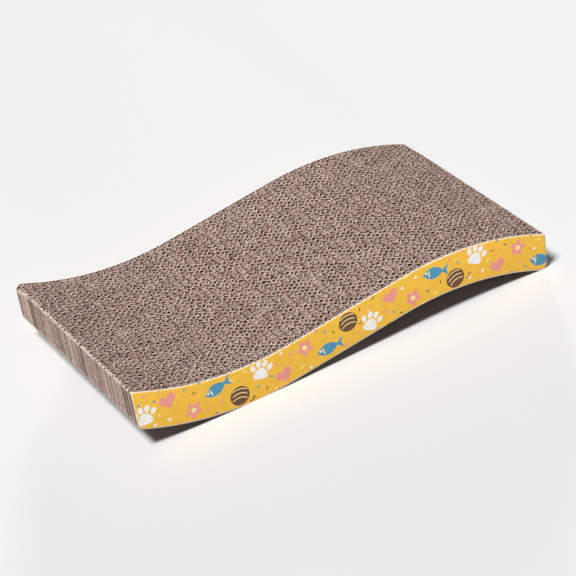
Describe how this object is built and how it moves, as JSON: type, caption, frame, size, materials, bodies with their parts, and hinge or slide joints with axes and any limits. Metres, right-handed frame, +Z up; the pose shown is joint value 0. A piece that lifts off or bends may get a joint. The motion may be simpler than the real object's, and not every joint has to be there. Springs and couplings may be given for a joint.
{
  "type": "cat scratcher",
  "caption": "Wave-shaped cat scratcher of corrugated board strips glued side by side on edge, with a printed panel on each long side; a cat scratches or lies on the flute ends.",
  "frame": {"origin": "on the floor under the middle of the scratcher's bounding box", "axes": "+X along the strips towards the hump, +Y across them from the front panel to the back panel, +Z up"},
  "size_m": [0.432, 0.2394, 0.0626],
  "materials": {
    "kraft_board": "matte",
    "printed_panel": "matte"
  },
  "bodies": {
    "root": {"strip_01": "kraft_board", "strip_02": "kraft_board", "strip_03": "kraft_board", "strip_04": "kraft_board", "strip_05": "kraft_board", "strip_06": "kraft_board", "strip_07": "kraft_board", "strip_08": "kraft_board", "strip_09": "kraft_board", "strip_10": "kraft_board", "strip_11": "kraft_board", "strip_12": "kraft_board", "strip_13": "kraft_board", "strip_14": "kraft_board", "strip_15": "kraft_board", "strip_16": "kraft_board", "strip_17": "kraft_board", "strip_18": "kraft_board", "strip_19": "kraft_board", "strip_20": "kraft_board", "strip_21": "kraft_board", "strip_22": "kraft_board", "strip_23": "kraft_board", "strip_24": "kraft_board", "strip_25": "kraft_board", "strip_26": "kraft_board", "strip_27": "kraft_board", "strip_28": "kraft_board", "strip_29": "kraft_board", "strip_30": "kraft_board", "strip_31": "kraft_board", "strip_32": "kraft_board", "strip_33": "kraft_board", "strip_34": "kraft_board", "strip_35": "kraft_board", "strip_36": "kraft_board", "strip_37": "kraft_board", "front_panel": "printed_panel", "back_panel": "printed_panel"}
  },
  "joints": []
}
